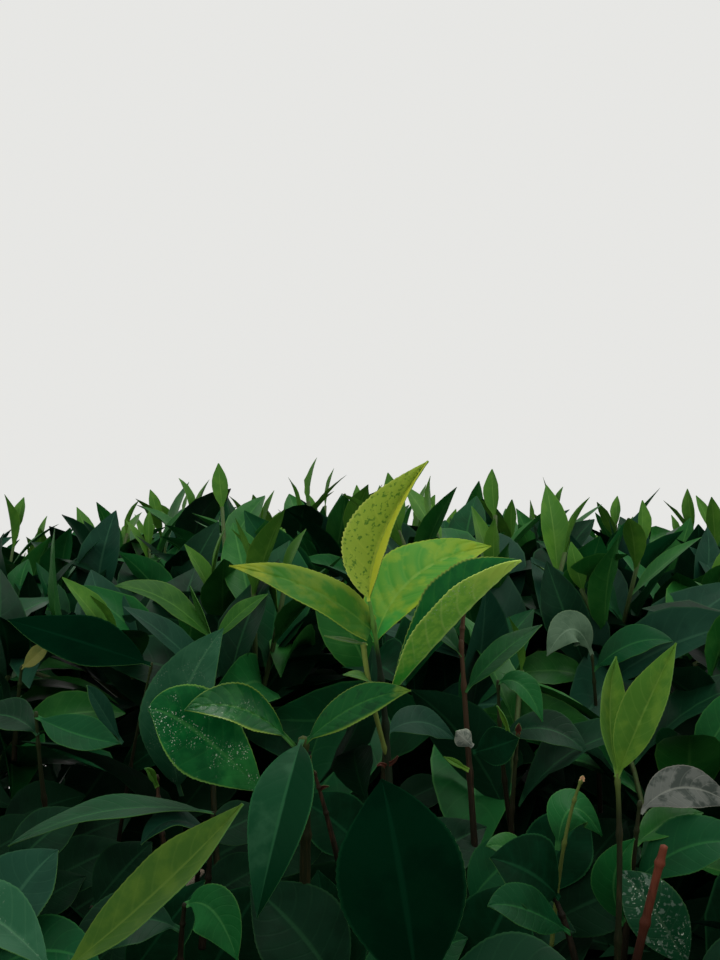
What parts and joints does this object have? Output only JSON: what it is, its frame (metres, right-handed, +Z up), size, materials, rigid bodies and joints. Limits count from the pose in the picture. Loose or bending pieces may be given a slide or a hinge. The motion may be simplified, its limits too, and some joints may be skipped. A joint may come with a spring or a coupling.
{
  "type": "tea bush",
  "caption": "Rooted tea bush kept low and broad by plucking: short trunk, forking boughs, dense masses of leaves round a middle one, and a tall young shoot above its table.",
  "frame": {"origin": "centre of the flat cut under the trunk, at ground level", "axes": "+Z up the trunk, -Y towards the front, where the tall shoot stands and the picture was taken from, +X to the right seen from the front"},
  "size_m": [1.3275, 1.3179, 0.863],
  "materials": {
    "bark": "rough grey-brown bark with lichen-pale patches",
    "green_stem": "smooth green young stem, browner towards its foot",
    "foliage": "dense leathery dark green leaves with a soft gloss",
    "old_leaf": "leathery, dark blue-green, softly glossy leaf",
    "young_leaf": "thin yellow-green leaf with a pale toothed margin"
  },
  "bodies": {
    "root": {"trunk": "bark", "bough_front": "bark", "bough_right": "bark", "bough_left": "bark", "leader": "bark", "limb_front": "bark", "limb_front_right": "bark", "limb_right": "bark", "limb_back_right": "bark", "limb_back_left": "bark", "limb_left": "bark", "limb_front_left": "bark", "foliage_front": "foliage", "foliage_front_right": "foliage", "foliage_right": "foliage", "foliage_back_right": "foliage", "foliage_back_left": "foliage", "foliage_left": "foliage", "foliage_front_left": "foliage", "foliage_middle": "foliage", "shoot_stem": "green_stem", "shoot_leaf_top": "young_leaf", "shoot_leaf_left": "young_leaf", "shoot_leaf_back": "young_leaf", "shoot_leaf_right": "young_leaf", "side_twig": "green_stem", "side_leaf_right": "young_leaf", "side_leaf_upper": "young_leaf", "side_leaf_left": "old_leaf", "side_leaf_hanging": "old_leaf", "sprig_back_left": "young_leaf", "sprig_right": "young_leaf", "sprig_near_right": "young_leaf", "sprig_near_left": "young_leaf"}
  },
  "joints": []
}
